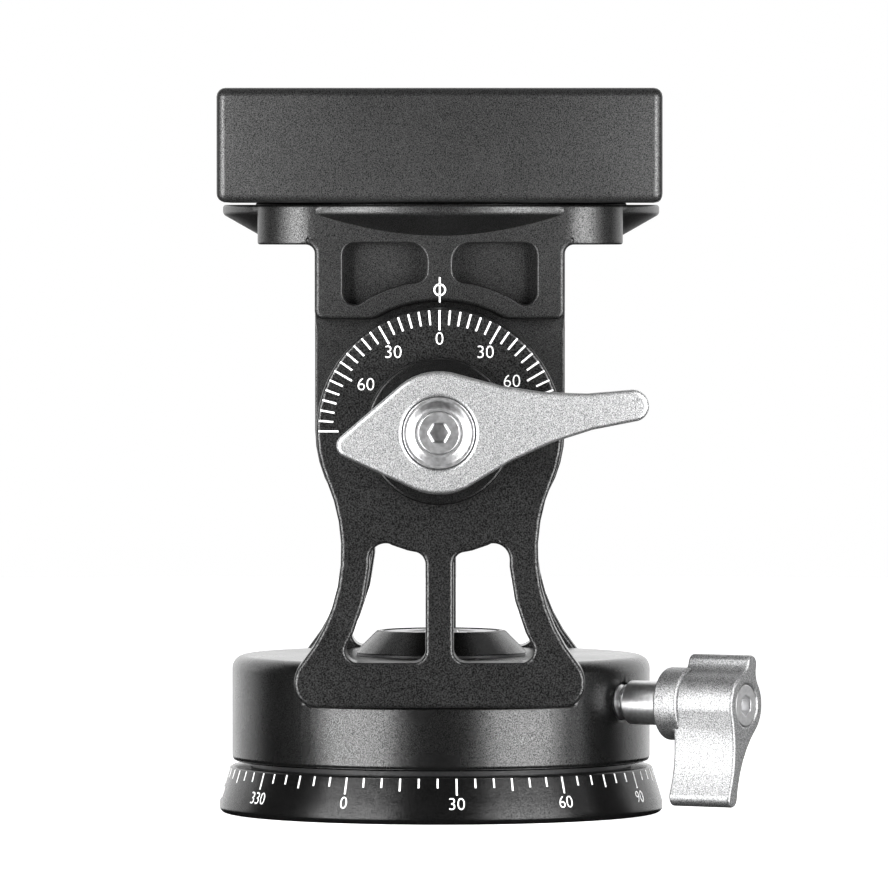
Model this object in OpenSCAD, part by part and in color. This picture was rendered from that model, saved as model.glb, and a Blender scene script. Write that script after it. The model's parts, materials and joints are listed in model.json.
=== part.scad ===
// Two-way pan tilt head: a turntable pans on a scale base, two uprights carry a tilting
// bracket on a cross axle, and a dovetail clamp on top takes the camera plate.
// Millimetres. Origin at the centre of the base's underside, +Z up, dial side towards -Y.

/* [Pan base] */
// Radius of the scale ring at its rim
base_r = 30.5; // [29:0.5:33]
// Radius of the scale ring at its top edge
base_top_r = 29; // [27:0.1:29.4]
// Height of the scale ring
base_h = 6.4; // [5.6:0.1:9]
// Height at which the sloped scale face meets the rim
rim_z = 1.5; // [1.2:0.1:3]
// Rounding of the rim's lower edge
rim_edge = 0.8; // [0.4:0.1:1.1]

/* [Pan bearing] */
// Radius of the spindle that the turntable turns on
spindle_r = 9; // [8:0.1:9.5]
// Radius of the spindle's foot flange
foot_flange_r = 15; // [14:0.1:17]
// Depth of the flange's recess in the underside
foot_flange_t = 3; // [2.6:0.1:4]
// Height of the flange above the resting face
foot_flange_lift = 0.3; // [0.1:0.1:0.6]
// Radius of the circle on which the flange's screws sit
flange_screw_ring = 11.6; // [11:0.1:12]
// Thickness of the lower glide ring, seen as a dark gap
low_glide_t = 0.7; // [0.5:0.1:1.2]
// Setback of the lower glide ring from the turntable's wall
low_glide_setback = 2.6; // [1:0.1:5]
// Thickness of the upper glide ring
top_glide_t = 0.3; // [0.2:0.1:0.6]
// Radius of the tripod thread's bore (3/8 inch, 16 threads per inch)
thread_r = 3.97; // [3:0.01:4.2]
// Depth of the tripod thread
thread_depth = 11; // [8:0.1:12]
// Wall of the tripod bush
bush_wall = 2; // [1.4:0.1:2.6]

/* [Turntable] */
// Radius of the turntable
table_r = 28.75; // [28.4:0.05:29.5]
// Height of the turntable
table_h = 14.5; // [13.5:0.1:18]
// Shoulder radius at the deck's edge
table_shoulder = 1.8; // [0.8:0.1:2.4]

/* [Pan cap] */
// Radius of the cap's cone at the deck
cap_r = 11.9; // [11:0.1:13]
// Radius of the cap at its top edge
cap_top_r = 8.8; // [8.4:0.1:9.6]
// Height of the cap
cap_h = 3.1; // [2.6:0.1:4]
// Radius of the bright screw head in the cap
cap_screw_head_r = 7.9; // [7:0.1:8.1]
// Depth of the recess for the screw head
cap_recess = 1.8; // [1.2:0.1:2.2]
// Radius of the cap screw's shank
cap_screw_r = 3; // [2.5:0.1:3.5]
// Width across flats of the cap screw's socket
cap_socket = 8; // [5:0.5:9]

/* [Uprights] */
// Clear width between the uprights
fork_w = 44; // [43:0.1:46]
// Thickness of an upright
upright_t = 7.5; // [6.8:0.1:8.5]
// Radius of the upright's round head, which carries the dial
head_r = 16.6; // [16:0.1:17]
// Radius of the hollow waist between head and foot
waist_r = 24; // [20:0.1:28]
// Half width of the upright's foot
foot_half = 19.6; // [19:0.1:20]
// Depth to which the foot is let into the turntable
foot_sink = 5.9; // [5.2:0.1:6.6]
// Corner radius of the foot's lower edge
foot_corner = 3.2; // [2:0.1:3.4]
// Width of the post between the windows
post_w = 3.8; // [3:0.1:5]
// Width of the outer legs beside the windows
leg_w = 3.9; // [3.4:0.1:4.6]
// Corner radius of the windows
window_corner = 1.7; // [1:0.1:2]
// Radius of the windows' upper outer corners
window_top_corner = 2.2; // [1.4:0.1:2.4]
// Radius of the screws in the uprights' feet
foot_screw_r = 1.5; // [1.2:0.1:1.7]
// Distance of these screws from the middle
foot_screw_x = 7; // [6:0.1:8]

/* [Tilt axle] */
// Height of the tilt axis above the deck
tilt_rise = 31.4; // [31.2:0.1:34]
// Radius of the tilt axle
axle_r = 5; // [4.5:0.1:5.4]
// Radius of the axle's threaded ends under the levers
axle_end_r = 4; // [3.6:0.1:4.2]
// Radius of the bushes in the cheeks
bush_r = 7; // [6.4:0.1:7.6]
// Thickness of the friction discs between cheeks and uprights
disc_t = 0.5; // [0.3:0.1:0.8]
// Radius of the friction discs
disc_r = 14; // [12:0.1:15]
// Radius of the black rings under the levers
seat_r = 9.9; // [9:0.1:10.5]
// Thickness of the black rings under the levers
seat_t = 2; // [1.5:0.1:2.5]

/* [Tilt bracket] */
// Half width of the neck and of the rounded cheeks
neck_half = 16.9; // [16.5:0.1:17.2]
// Width of the gap between the cheeks
cheek_gap = 20; // [16:0.1:22]
// Height of the gap's roof above the tilt axis
gap_roof = 13; // [11:0.1:14]
// Thickness of the skirt pads on the neck
pad_t = 3.4; // [2.8:0.1:3.6]
// Height of the pads' lower edge above the tilt axis
pad_z = 15; // [14.4:0.1:15.4]
// Clearance between the dial's head and the pads
pad_clear = 0.8; // [0.5:0.1:1.2]
// Depth of the pockets in the pads
pocket_depth = 3; // [2:0.1:3.2]
// Radius of the pockets' lower edge about the tilt axis
pocket_r = 20.4; // [20:0.1:21]
// Half width of the rib between two pockets
rib_half = 1.75; // [1.4:0.1:2.4]
// Half width of the pair of pockets
pocket_half = 13.1; // [12.4:0.1:13.6]
// Height of the ears' underside above the tilt axis
ear_z = 25.1; // [24.6:0.1:26]
// Half width of the ears
ear_half = 24.8; // [24:0.1:26]
// Corner radius of the ears, seen from above
ear_corner = 8; // [5:0.1:9]
// Fillet between neck and ears
neck_fillet = 1.2; // [0.6:0.1:2]
// Radius of the round flange under the clamp
rim_r = 30; // [28.5:0.1:30.5]
// Height of the clamp's seat above the tilt axis
seat_z = 30.8; // [30.4:0.1:33]
// Step between the flange and the clamp's seat
seat_step = 0.3; // [0.2:0.1:0.6]
// Thickness of the flange at its rim
rim_t = 1.3; // [0.8:0.1:2]
// Rise of the flange's sloped underside
rim_slope = 2.9; // [2:0.1:3]

/* [Clamp] */
// Length of the clamp along its groove
clamp_l = 60; // [56:0.1:62]
// Depth of the clamp across its groove
clamp_d = 60; // [58:0.1:60]
// Height of the clamp
clamp_h = 15.4; // [15:0.1:18]
// Rounding of the clamp's upright corners
clamp_corner = 1.2; // [0.6:0.1:2]
// Width of the dovetail groove at its floor
groove_w = 38; // [37:0.1:39]
// Depth of the groove
groove_h = 5; // [4.2:0.1:5.2]
// Overhang of the dovetail jaws
jaw_lip = 2.4; // [1.8:0.1:2.6]
// Gap in front of the closed moving jaw
jaw_gap = 0.4; // [0.3:0.1:0.6]
// Thickness of the moving jaw below the groove
jaw_t = 13.6; // [13:0.1:14]
// Distance of the guide pins from the middle
guide_x = 20; // [17:0.1:23]
// Radius of the guide pins
guide_r = 2; // [1.6:0.1:2.4]
// Radius of the clamp's screw spindle
screw_r = 3; // [2.5:0.1:3.2]
// Depth of the screw spindle below the groove's floor
screw_drop = 3.8; // [3.6:0.1:4.2]
// Radius of the clamp's knob
clamp_knob_r = 8; // [7:0.1:8.2]
// Length of the clamp's knob
clamp_knob_l = 13; // [10:0.1:16]
// Radius of the bolt through the clamp
bolt_r = 3; // [2.5:0.1:3.2]
// Radius of the head of that bolt
bolt_head_r = 5; // [4.6:0.1:5.2]
// Height of the head of that bolt
bolt_head_h = 3.8; // [3:0.1:4.4]
// Distance of the locating dowels from the middle
dowel_x = 16; // [14:0.1:18]
// Radius of the locating dowels
dowel_r = 1.5; // [1:0.1:2]

/* [Levers] */
// Thickness of a lever
lever_t = 6; // [5:0.1:7]
// Length of the hub behind a lever
lever_hub_l = 3.2; // [3:0.1:4]
// Radius of a lever's broad middle
lever_r = 8.2; // [7.6:0.1:8.6]
// Distance from the axis to the centre of the long arm's tip
lever_arm = 26.2; // [24:0.1:26.4]
// Radius of the long arm's tip
lever_tip_r = 2.1; // [1.8:0.1:2.3]
// Radius of the long arm's hollow flanks
lever_flank_r = 50; // [44:0.5:60]
// Distance from the axis to the centre of the short nose's tip
lever_nose = 12.2; // [11:0.1:13]
// Radius of the short nose's tip
lever_nose_r = 1.6; // [1.2:0.1:2]
// Angle of the front lever's arm at rest
front_lever_angle = 8; // [0:1:20]
// Angle of the rear lever's arm at rest, seen from the front
rear_lever_angle = 80; // [0:1:90]
// Radius of the recess that holds the steel insert
insert_r = 4.8; // [4.4:0.1:5.2]
// Depth of that recess
insert_depth = 2.2; // [1.6:0.1:2.6]
// Radius of the socket screws' heads
screw_head_r = 2.85; // [2.6:0.05:3]
// Radius of the socket screws' shanks
small_screw_r = 1.5; // [1.2:0.1:1.7]
// Width across flats of the socket screws' sockets
small_socket = 2.5; // [2:0.5:3]

/* [Pan knob] */
// Direction of the pan knob, from the front towards +X
knob_azimuth = 60; // [50:1:70]
// Height of the pan knob's axis
knob_z = 15.8; // [15.4:0.1:16]
// Radius of the knob's threaded stem
stem_r = 2.4; // [2:0.1:2.6]
// Radius of the knob's smooth collar
collar_r = 3; // [2.6:0.1:3.4]
// Gap between turntable and collar
collar_gap = 1; // [0.8:0.1:3]
// Length of the collar
collar_l = 6.2; // [4:0.1:7]
// Radius of the knob's round hub
knob_hub_r = 4.95; // [4.6:0.1:5.2]
// Length of the hub inside the wings
knob_hub_l = 2.6; // [2:0.1:4]
// Length of the wings along the axis
wing_l = 9.4; // [8:0.1:11]
// Radius of the wings' middle
wing_r = 4.4; // [4.2:0.1:4.6]
// Reach of the long wing
wing_long = 14.2; // [13:0.1:14.4]
// Reach of the short wing
wing_short = 7; // [6.8:0.1:7.1]
// Radius of the wings' tips
wing_tip_r = 1.25; // [1.1:0.05:1.4]
// Lean of the wings from upright
wing_lean = 17; // [10:1:20]

/* [Fits] */
// Radial clearance of running fits
run_fit = 0.05; // [0.03:0.01:0.08]
// Radial clearance of pressed and screwed fits
press_fit = 0.02; // [0.01:0.01:0.04]
// Clearance between parts that pass each other
pass_gap = 0.3; // [0.2:0.05:0.5]

/* [Hidden] */

$fn = 64;
// Angle between two points of an arc in an outline
arc_step = 7.5;
// Distance below which two points count as one, and angle below which two leans do
tiny = 0.001;
// Overshoot of cuts past the faces that they open
cut = 1;

// Finishes
black = [0.09, 0.09, 0.1];
steel = [0.7, 0.71, 0.72];
silver = [0.8, 0.81, 0.82];
plastic = [0.2, 0.2, 0.2];
bronze = [0.6, 0.45, 0.25];

// Heights, from the base upwards
table_z = base_h + low_glide_t;
deck_z = table_z + table_h;
cap_z = deck_z + top_glide_t;
foot_z = deck_z - foot_sink;
tilt_z = deck_z + tilt_rise;
clamp_z = tilt_z + seat_z;
bed_z = clamp_z + clamp_h - groove_h;
clamp_top_z = clamp_z + clamp_h;
screw_z = bed_z - screw_drop;

// Depths, from the middle outwards
fork_y = fork_w / 2;
face_y = fork_y + upright_t;
cheek_y = fork_y - disc_t;
pad_y = cheek_y + pad_t;
gap_y = cheek_gap / 2;
seat_y = face_y + seat_t;
lever_y = seat_y + lever_hub_l;
lever_face_y = lever_y + lever_t;

// Base: web in the spindle, and the screws of its flange
spindle_web = 1.5;
flange_screws = 3;
flange_screw_turn = 30;
flange_screw_head_r = 2.6;
flange_screw_head_h = 1.5;
flange_screw_socket = 2.5;
flange_screw_roof = 0.9;
flange_head_top = foot_flange_t - foot_flange_lift / 2 - flange_screw_roof;
flange_head_low = max(flange_head_top - flange_screw_head_h, foot_flange_lift);
flange_screw_top = base_h - flange_screw_roof;

// Turntable's lower edge, and the screws in the uprights' feet
table_edge = 0.4;
foot_screw_inset = 2.2;
foot_screw_y = fork_y + foot_screw_inset;
foot_screw_head_r = 2.75;
foot_screw_head_h = 3;
foot_screw_skin = 1;
foot_boss_wall = 0.4;

// Upright: centres of its head, of the foot's shoulder and of the hollow waist between them
foot_flat = 0.2;
foot_shoulder_r = 4;
head = [0, tilt_z];
shoulder = [foot_half - foot_shoulder_r, foot_z + foot_corner + foot_flat];
waist = meeting(head, head_r + waist_r, shoulder, foot_shoulder_r + waist_r);

// Window: floor, and the shares of its curved edges that lie between the corners
window_step = 0.2;
window_floor_z = deck_z + window_step;
leg_shares = [0.25, 0.5, 0.75];
roof_shares = [0.5, 0.75];

// Axle and bushes
axle_tip = 3;
axle_tip_y = seat_y + axle_tip;
bush_lip = 1.5;
bush_flange_t = 1;

// Bracket
pad_corner = 1.2;
pad_roll = 3;
pocket_corner = 1.6;
pocket_end = 2.4;
pocket_step = 0.2;
pocket_roof = ear_z + pocket_step;
pocket_shares = [0.25, 0.45, 0.65];
rim_top = seat_z - seat_step;
seat_setback = 4.5;
seat_disc_r = rim_r - seat_setback;
gap_corner = 3;

// Clamp
jaw_y = clamp_d / 2 - jaw_t;
washer_t = 1;
bolt_wall = 2;
spindle_tip_y = bolt_head_r + bolt_wall;
guide_hold = 11.4;
guide_tip_y = jaw_y - guide_hold;
guide_wall = 2;
bolt_depth = 10;
dowel_depth = 4;
knob_flutes = 12;
flute_r = 1.4;
flute_bite = 0.7;
knob_edge = 1;

// Levers
lever_hub_r = lever_r - pass_gap;
insert_wall = 1.5;
insert_bevel = 1;
insert_dish = 0.8;
socket_depth = 1.5;
screw_len = 9;

// Pan knob along its own axis, from the middle of the turntable
collar_in = table_r + collar_gap;
hub_in = collar_in + collar_l;
wing_in = hub_in + knob_hub_l;
wing_out = wing_in + wing_l;
knob_head_sink = 3;
knob_head_low = wing_out - knob_head_sink;
knob_web = 1.5;
stem_floor = knob_head_low - knob_web;
wing_flank_long = 14;
wing_flank_short = 2.5;
wing_long_d = wing_long - wing_tip_r;
wing_short_d = wing_short - wing_tip_r;
pad_run = 0.1;
brake_l = 5;
brake_in = spindle_r + pad_run;
brake_out = brake_in + brake_l;

// Plane geometry
function xy(p) = [p[0], p[1]];
function unit(v) = v / norm(v);
function heading(v) = atan2(v[1], v[0]);
function short_turn(a) = a > 180 ? a - 360 : a < -180 ? a + 360 : a;
function polar(c, r, a) = c + r * [cos(a), sin(a)];
// Point at distances ra from a and rb from b, to the left of the way from a to b
function meeting(a, ra, b, rb) =
  let (
    way = unit(b - a),
    along = (pow(norm(b - a), 2) + ra * ra - rb * rb) / (2 * norm(b - a))
  )
  a + along * way + sqrt(ra * ra - along * along) * [-way[1], way[0]];
function arc(c, r, a0, a1) =
  let (n = max(2, ceil(abs(a1 - a0) / arc_step)))
  [for (i = [0:n]) polar(c, r, a0 + (a1 - a0) * i / n)];
function arc_points(c, from, to, shares) =
  let (
    r = norm(from - c),
    turn = short_turn(heading(to - c) - heading(from - c))
  )
  [for (share = shares) polar(c, r, heading(from - c) + turn * share)];
function flipped(v) = [for (p = v) [-p[0], p[1]]];
function reversed(v) = [for (i = [len(v) - 1:-1:0]) v[i]];
function distinct(v) =
  [for (i = [0:len(v) - 1]) if (norm(v[i] - v[(i + 1) % len(v)]) > tiny) v[i]];

// Corner c between points p and q, rounded to the radius that c carries
function round_corner(p, c, q) =
  let (
    a = unit(xy(p) - xy(c)),
    b = unit(xy(q) - xy(c)),
    half = acos(a * b) / 2,
    centre = xy(c) + unit(a + b) * c[2] / sin(half),
    from = heading(xy(c) + a * c[2] / tan(half) - centre),
    to = heading(xy(c) + b * c[2] / tan(half) - centre)
  )
  arc(centre, c[2], from, from + short_turn(to - from));

// Outline through points [x, y, corner radius]
function rounded(v) =
  let (n = len(v))
  distinct([
    for (i = [0:n - 1])
      each v[i][2] > 0 ? round_corner(v[(i + n - 1) % n], v[i], v[(i + 1) % n]) : [xy(v[i])]
  ]);

// A symmetric outline from its right half, listed from bottom to top
function both_sides(v) = concat(v, [for (p = reversed(v)) [-p[0], p[1], p[2]]]);

// Edge of an arm with hollow flanks, from its tip to the round middle
function flank_x(r, tip, d, flank) = (d * d + pow(r + flank, 2) - pow(tip + flank, 2)) / (2 * d);
function flank_centre(r, tip, d, flank) =
  let (x = flank_x(r, tip, d, flank)) [x, sqrt(pow(r + flank, 2) - x * x)];
function flank_contact(r, tip, d, flank) = heading(flank_centre(r, tip, d, flank));
function hollow_arm(r, tip, d, flank) =
  let (
    c = flank_centre(r, tip, d, flank),
    turn = heading(c - [d, 0])
  )
  concat(
    arc([d, 0], tip, 0, turn),
    arc(c, flank, turn + 180, flank_contact(r, tip, d, flank) + 180)
  );

// Edge of a short nose with straight flanks, from its tip to the round middle
function nose_contact(r, tip, d) = acos((r - tip) / d);
function straight_nose(r, tip, d) = arc([d, 0], tip, 0, nose_contact(r, tip, d));

// Closed outline of a round middle with an arm to each side
function two_arms(r, right, right_contact, left, left_contact) =
  let (
    upper = concat(
      right, arc([0, 0], r, right_contact, 180 - left_contact), reversed(flipped(left))
    )
  )
  distinct(concat(upper, [for (p = reversed(upper)) [p[0], -p[1]]]));

function lever_outline() = two_arms(
  lever_r,
  hollow_arm(lever_r, lever_tip_r, lever_arm, lever_flank_r),
  flank_contact(lever_r, lever_tip_r, lever_arm, lever_flank_r),
  straight_nose(lever_r, lever_nose_r, lever_nose),
  nose_contact(lever_r, lever_nose_r, lever_nose)
);

function wing_outline() = two_arms(
  wing_r,
  hollow_arm(wing_r, wing_tip_r, wing_long_d, wing_flank_long),
  flank_contact(wing_r, wing_tip_r, wing_long_d, wing_flank_long),
  hollow_arm(wing_r, wing_tip_r, wing_short_d, wing_flank_short),
  flank_contact(wing_r, wing_tip_r, wing_short_d, wing_flank_short)
);

// Outline points as corners without a rounding
function plain(v) = [for (p = v) [p[0], p[1], 0]];

// Right half of the upright, from the foot up and over the round head
function upright_side() = concat(
  [[foot_half, foot_z, foot_corner]],
  plain(arc(shoulder, foot_shoulder_r, 0, heading(waist - shoulder))),
  plain(arc(waist, waist_r, 180 + heading(waist - shoulder), 180 + heading(waist - head))),
  plain(arc(head, head_r, heading(waist - head), 90))
);

// Window on the right of the post, along the leg and under the head
function window_outline() =
  let (
    leg_r = waist_r + leg_w,
    inner = post_w / 2,
    floor_x = waist[0] - sqrt(pow(leg_r, 2) - pow(waist[1] - window_floor_z, 2)),
    low = [floor_x, window_floor_z],
    high = meeting(waist, leg_r, head, head_r),
    roof = [inner, tilt_z - sqrt(pow(head_r, 2) - pow(inner, 2))]
  )
  rounded(concat(
    [[inner, window_floor_z, window_corner], [low[0], low[1], window_corner]],
    plain(arc_points(waist, low, high, leg_shares)),
    [[high[0], high[1], window_top_corner]],
    plain(arc_points(head, high, roof, roof_shares)),
    [[roof[0], roof[1], window_corner]]
  ));

// Solids in the part's main directions
module front_plate(y_low, y_high) {
  translate([0, y_high, 0])
    rotate([90, 0, 0])
      linear_extrude(y_high - y_low)
        children();
}

module side_bar(length) {
  translate([-length / 2, 0, 0])
    rotate([90, 0, 90])
      linear_extrude(length)
        children();
}

module y_rod(r, y_low, y_high) {
  front_plate(y_low, y_high)
    circle(r);
}

module y_tube(r, hole, y_low, y_high) {
  difference() {
    y_rod(r, y_low, y_high);
    y_rod(hole, y_low - cut, y_high + cut);
  }
}

module tube(r, hole, z_low, z_high) {
  translate([0, 0, z_low])
    difference() {
      cylinder(r = r, h = z_high - z_low);
      translate([0, 0, -cut])
        cylinder(r = hole, h = z_high - z_low + 2 * cut);
    }
}

module post(r, z_low, z_high) {
  translate([0, 0, z_low])
    cylinder(r = r, h = z_high - z_low);
}

module hex_post(across, z_low, z_high) {
  translate([0, 0, z_low])
    cylinder(r = across / sqrt(3), h = z_high - z_low, $fn = 6);
}

module at_tilt_axis() {
  translate([0, 0, tilt_z])
    children();
}

module at_rear() {
  mirror([0, 1, 0])
    children();
}

module both_ends_x(x) {
  for (side = [-1, 1])
    translate([side * x, 0, 0])
      children();
}

module both_ends_y() {
  children();
  at_rear()
    children();
}

// Local +Z runs outwards along the knob's axis, local +X runs down
module at_knob() {
  translate([0, 0, knob_z])
    rotate([0, 0, knob_azimuth - 90])
      rotate([0, 90, 0])
        children();
}

module at_flange_screws() {
  for (i = [1:flange_screws])
    rotate([0, 0, flange_screw_turn + i * 360 / flange_screws])
      translate([flange_screw_ring, 0, 0])
        children();
}

module at_foot_screws() {
  both_ends_y()
    both_ends_x(foot_screw_x)
      translate([0, -foot_screw_y, 0])
        children();
}

// Fixed base
module base_ring() {
  seat = foot_flange_r + press_fit;
  color(black)
    difference() {
      rotate_extrude()
        polygon(concat(
          [[seat, 0]],
          arc([base_r - rim_edge, rim_edge], rim_edge, -90, 0),
          [
            [base_r, rim_z],
            [base_top_r, base_h],
            [spindle_r + press_fit, base_h],
            [spindle_r + press_fit, foot_flange_t],
            [seat, foot_flange_t]
          ]
        ));
      at_flange_screws()
        post(small_screw_r + press_fit, foot_flange_t - cut, flange_screw_top);
    }
}

module pan_spindle() {
  color(steel)
    difference() {
      union() {
        post(foot_flange_r, foot_flange_lift, foot_flange_t);
        post(spindle_r, foot_flange_lift, cap_z);
      }
      post(thread_r + bush_wall + press_fit, 0, thread_depth);
      post(cap_screw_r + press_fit, thread_depth + spindle_web, cap_z + cut);
      at_flange_screws() {
        post(small_screw_r + press_fit, 0, foot_flange_t + cut);
        post(flange_screw_head_r + press_fit, 0, flange_head_top);
      }
    }
}

module tripod_bush() {
  color(steel)
    tube(thread_r + bush_wall, thread_r, 0, thread_depth);
}

module spindle_screws() {
  color(steel)
    at_flange_screws()
      difference() {
        union() {
          post(flange_screw_head_r, flange_head_low, flange_head_top);
          post(small_screw_r, flange_head_low, flange_screw_top - pass_gap);
        }
        hex_post(flange_screw_socket, flange_head_low - cut, flange_head_top - flange_screw_roof / 2);
      }
}

module lower_glide_ring() {
  color(plastic)
    tube(table_r - low_glide_setback, spindle_r + pass_gap, base_h, table_z);
}

module upper_glide_ring() {
  color(plastic)
    tube(cap_r - pass_gap, spindle_r + pass_gap, deck_z, cap_z);
}

module pan_cap() {
  hole = cap_screw_r + press_fit;
  recess_r = cap_screw_head_r + pass_gap / 2;
  color(black)
    rotate_extrude()
      polygon([
        [hole, cap_z],
        [cap_r, cap_z],
        [cap_top_r, cap_z + cap_h],
        [recess_r, cap_z + cap_h],
        [recess_r, cap_z + cap_h - cap_recess],
        [hole, cap_z + cap_h - cap_recess]
      ]);
}

module pan_cap_screw() {
  head_low = cap_z + cap_h - cap_recess;
  head_top = cap_z + cap_h - pass_gap / 2;
  color(steel)
    difference() {
      union() {
        post(cap_screw_head_r, head_low, head_top);
        post(cap_screw_r, thread_depth + spindle_web + pass_gap, head_top);
      }
      hex_post(cap_socket, head_low + pass_gap, head_top + cut);
    }
}

// Turntable with its uprights
module turntable() {
  shoulder_r = table_r - table_shoulder;
  color(black)
    difference() {
      union() {
        rotate_extrude()
          polygon(concat(
            [
              [spindle_r + run_fit, table_z],
              [table_r - table_edge, table_z],
              [table_r, table_z + table_edge]
            ],
            arc([shoulder_r, deck_z - table_shoulder], table_shoulder, 0, 90),
            [[spindle_r + run_fit, deck_z]]
          ));
        at_foot_screws()
          post(foot_screw_head_r + press_fit + foot_boss_wall, table_z + table_edge, foot_z - table_edge);
      }
      both_ends_y()
        translate([-table_r, -table_r - cut, foot_z])
          cube([2 * table_r, table_r + cut - fork_y, foot_sink + cut]);
      at_foot_screws() {
        post(foot_screw_r + press_fit, table_z - cut, foot_z + cut);
        post(foot_screw_head_r + press_fit, table_z - cut, table_z + foot_screw_head_h + pass_gap);
      }
      at_knob()
        post(stem_r + run_fit, spindle_r - cut, table_r + cut);
    }
}

module upright() {
  difference() {
    front_plate(-face_y, -fork_y)
      polygon(rounded(both_sides(upright_side())));
    for (side = [0, 1])
      mirror([side, 0, 0])
        front_plate(-face_y - cut, -fork_y + cut)
          polygon(window_outline());
    at_tilt_axis()
      y_rod(axle_r + press_fit, -face_y - cut, -fork_y + cut);
    at_foot_screws()
      post(foot_screw_r + press_fit, foot_z - cut, window_floor_z - foot_screw_skin);
  }
}

module front_upright() {
  color(black)
    upright();
}

module rear_upright() {
  color(black)
    at_rear()
      upright();
}

module upright_screws() {
  head_low = table_z + pass_gap;
  head_top = head_low + foot_screw_head_h;
  color(steel)
    at_foot_screws()
      difference() {
        union() {
          post(foot_screw_head_r, head_low, head_top);
          post(foot_screw_r, head_low, window_floor_z - foot_screw_skin - pass_gap);
        }
        hex_post(small_socket, head_low - cut, head_low + socket_depth);
      }
}

module tilt_axle() {
  color(steel)
    at_tilt_axis()
      difference() {
        union() {
          y_rod(axle_r, -face_y, face_y);
          y_rod(axle_end_r, -axle_tip_y, axle_tip_y);
        }
        both_ends_y()
          y_rod(small_screw_r + run_fit, -axle_tip_y - cut, -axle_tip_y + screw_len);
      }
}

module friction_disc() {
  at_tilt_axis()
    y_tube(disc_r, bush_r + pass_gap, -fork_y, -cheek_y);
}

module front_friction_disc() {
  color(plastic)
    friction_disc();
}

module rear_friction_disc() {
  color(plastic)
    at_rear()
      friction_disc();
}

module seat_ring() {
  at_tilt_axis()
    y_tube(seat_r, axle_end_r + press_fit, -seat_y, -face_y);
}

module front_seat_ring() {
  color(black)
    seat_ring();
}

module rear_seat_ring() {
  color(black)
    at_rear()
      seat_ring();
}

// Tilting part, drawn about the tilt axis
function cheek_outline() = concat(
  [[neck_half, rim_top], [-neck_half, rim_top]],
  arc([0, 0], neck_half, 180, 360)
);

function pad_outline() =
  let (
    dial_r = head_r + pad_clear,
    corner_x = sqrt(pow(dial_r, 2) - pow(pad_z, 2)),
    start = heading([corner_x, pad_z]) + arc_step
  )
  rounded(concat(
    [
      [-neck_half, ear_z + cut, 0],
      [-neck_half, pad_z, pad_corner],
      [-corner_x, pad_z, pad_roll]
    ],
    plain(arc([0, 0], dial_r, 180 - start, start)),
    [
      [corner_x, pad_z, pad_roll],
      [neck_half, pad_z, pad_corner],
      [neck_half, ear_z + cut, 0]
    ]
  ));

// Pocket on the right of the rib, with its lower edge along the dial
function pocket_outline() =
  let (
    inner = [rib_half, sqrt(pow(pocket_r, 2) - pow(rib_half, 2))],
    outer = [pocket_half, sqrt(pow(pocket_r, 2) - pow(pocket_half, 2))]
  )
  rounded(concat(
    [
      [pocket_half, pocket_roof, pocket_corner],
      [rib_half, pocket_roof, pocket_end],
      [inner[0], inner[1], pocket_corner]
    ],
    plain(arc_points([0, 0], inner, outer, pocket_shares)),
    [[outer[0], outer[1], pocket_corner]]
  ));

function ear_outline() = rounded([
  for (c = [[1, 1], [-1, 1], [-1, -1], [1, -1]]) [c[0] * ear_half, c[1] * pad_y, ear_corner]
]);

function fillet_outline() = concat(
  [[neck_half - cut, ear_z + cut], [neck_half - cut, ear_z - neck_fillet]],
  reversed(arc([neck_half + neck_fillet, ear_z - neck_fillet], neck_fillet, 90, 180)),
  [[neck_half + neck_fillet, ear_z + cut]]
);

function gap_outline() = rounded([
  [-gap_y, -neck_half - cut, 0],
  [gap_y, -neck_half - cut, 0],
  [gap_y, gap_roof, gap_corner],
  [-gap_y, gap_roof, gap_corner]
]);

module bracket_block() {
  front_plate(-cheek_y, cheek_y)
    polygon(cheek_outline());
  both_ends_y()
    front_plate(-pad_y, -cheek_y + cut)
      polygon(pad_outline());
  for (side = [0, 1])
    mirror([side, 0, 0])
      front_plate(-pad_y, pad_y)
        polygon(fillet_outline());
  translate([0, 0, ear_z])
    linear_extrude(rim_top - ear_z)
      polygon(ear_outline());
  rotate_extrude()
    polygon([
      [0, rim_top - rim_t - rim_slope],
      [pad_y, rim_top - rim_t - rim_slope],
      [rim_r, rim_top - rim_t],
      [rim_r, rim_top],
      [seat_disc_r, rim_top],
      [seat_disc_r, seat_z],
      [0, seat_z]
    ]);
}

module tilt_bracket() {
  color(black)
    at_tilt_axis()
      difference() {
        bracket_block();
        side_bar(2 * neck_half + 2 * cut)
          polygon(gap_outline());
        y_rod(bush_r + press_fit, -pad_y, pad_y);
        both_ends_y()
          for (side = [0, 1])
            mirror([side, 0, 0])
              front_plate(-pad_y - cut, -pad_y + pocket_depth)
                polygon(pocket_outline());
        post(bolt_r + press_fit, seat_z - bolt_depth, seat_z + cut);
        both_ends_x(dowel_x)
          post(dowel_r + press_fit, seat_z - dowel_depth, seat_z + cut);
      }
}

module bush() {
  at_tilt_axis()
    difference() {
      union() {
        y_rod(bush_r, -cheek_y, -gap_y + bush_flange_t);
        y_rod(bush_r + bush_lip, -gap_y, -gap_y + bush_flange_t);
      }
      y_rod(axle_r + run_fit, -cheek_y - cut, 0);
    }
}

module front_bush() {
  color(bronze)
    bush();
}

module rear_bush() {
  color(bronze)
    at_rear()
      bush();
}

// Clamp across the groove: fixed jaw in front, moving jaw behind
function jaw_corner_y() = groove_w / 2;
function jaw_tip_y() = groove_w / 2 - jaw_lip;

function body_section() = [
  [-clamp_d / 2, clamp_z],
  [jaw_y - jaw_gap, clamp_z],
  [jaw_y - jaw_gap, bed_z],
  [-jaw_corner_y(), bed_z],
  [-jaw_tip_y(), bed_z + jaw_lip],
  [-jaw_tip_y(), clamp_top_z],
  [-clamp_d / 2, clamp_top_z]
];

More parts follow.
